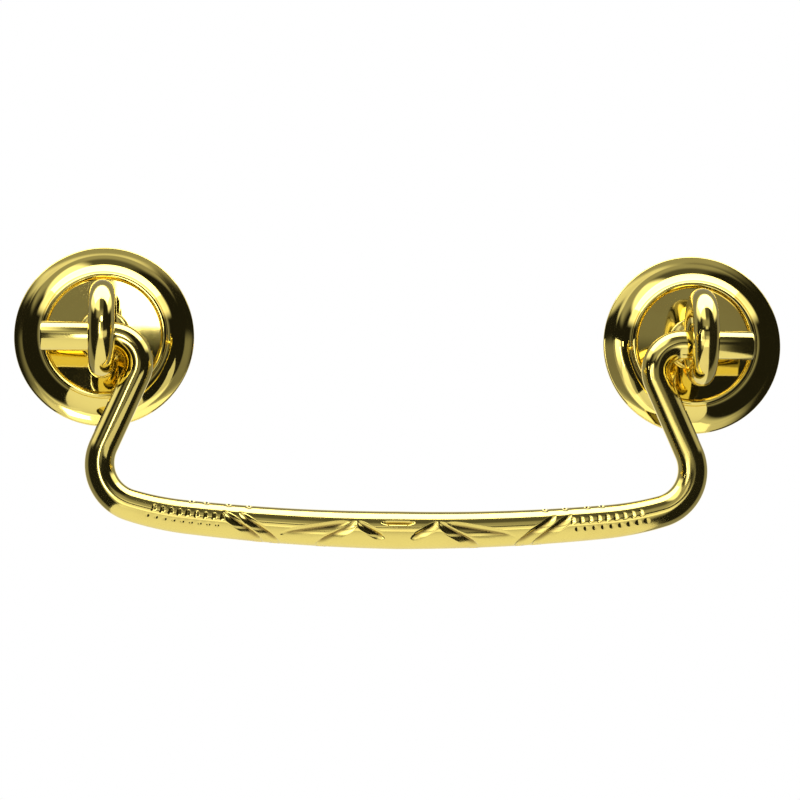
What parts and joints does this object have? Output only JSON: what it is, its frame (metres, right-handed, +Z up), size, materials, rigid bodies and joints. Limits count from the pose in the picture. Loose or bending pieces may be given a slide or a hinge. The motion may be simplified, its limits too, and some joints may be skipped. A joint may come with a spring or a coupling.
{
  "type": "bail pull",
  "caption": "Polished brass drawer pull: a swinging wire bail with a chased grip, hung in eyebolts through dished round rosettes, with washers and nuts.",
  "frame": {"origin": "midway between the two shanks, on the face of the drawer front", "axes": "+X from the left eye to the right eye, +Y into the drawer front, +Z up; the front of the pull looks along -Y"},
  "size_m": [0.116, 0.0452, 0.0455],
  "materials": {
    "bail_brass": "bright polished and lacquered, with chased cuts on the grip",
    "rosette_brass": "bright polished and lacquered, spun",
    "eyebolt_brass": "bright polished and lacquered ring, turned shank and thread",
    "fastener_brass": "plain machined brass"
  },
  "bodies": {
    "fittings": {"left_rosette": "rosette_brass", "right_rosette": "rosette_brass", "left_eyebolt": "eyebolt_brass", "right_eyebolt": "eyebolt_brass", "left_washer": "fastener_brass", "right_washer": "fastener_brass", "left_nut": "fastener_brass", "right_nut": "fastener_brass"},
    "bail": {"bail_handle": "bail_brass"}
  },
  "joints": [
    {"name": "bail_swing", "type": "hinge", "parent": "fittings", "child": "bail", "pos_m": [0, -0.011, -0.00115], "axis": [-1, 0, 0], "range_deg": [-16.5, 196.5]}
  ]
}
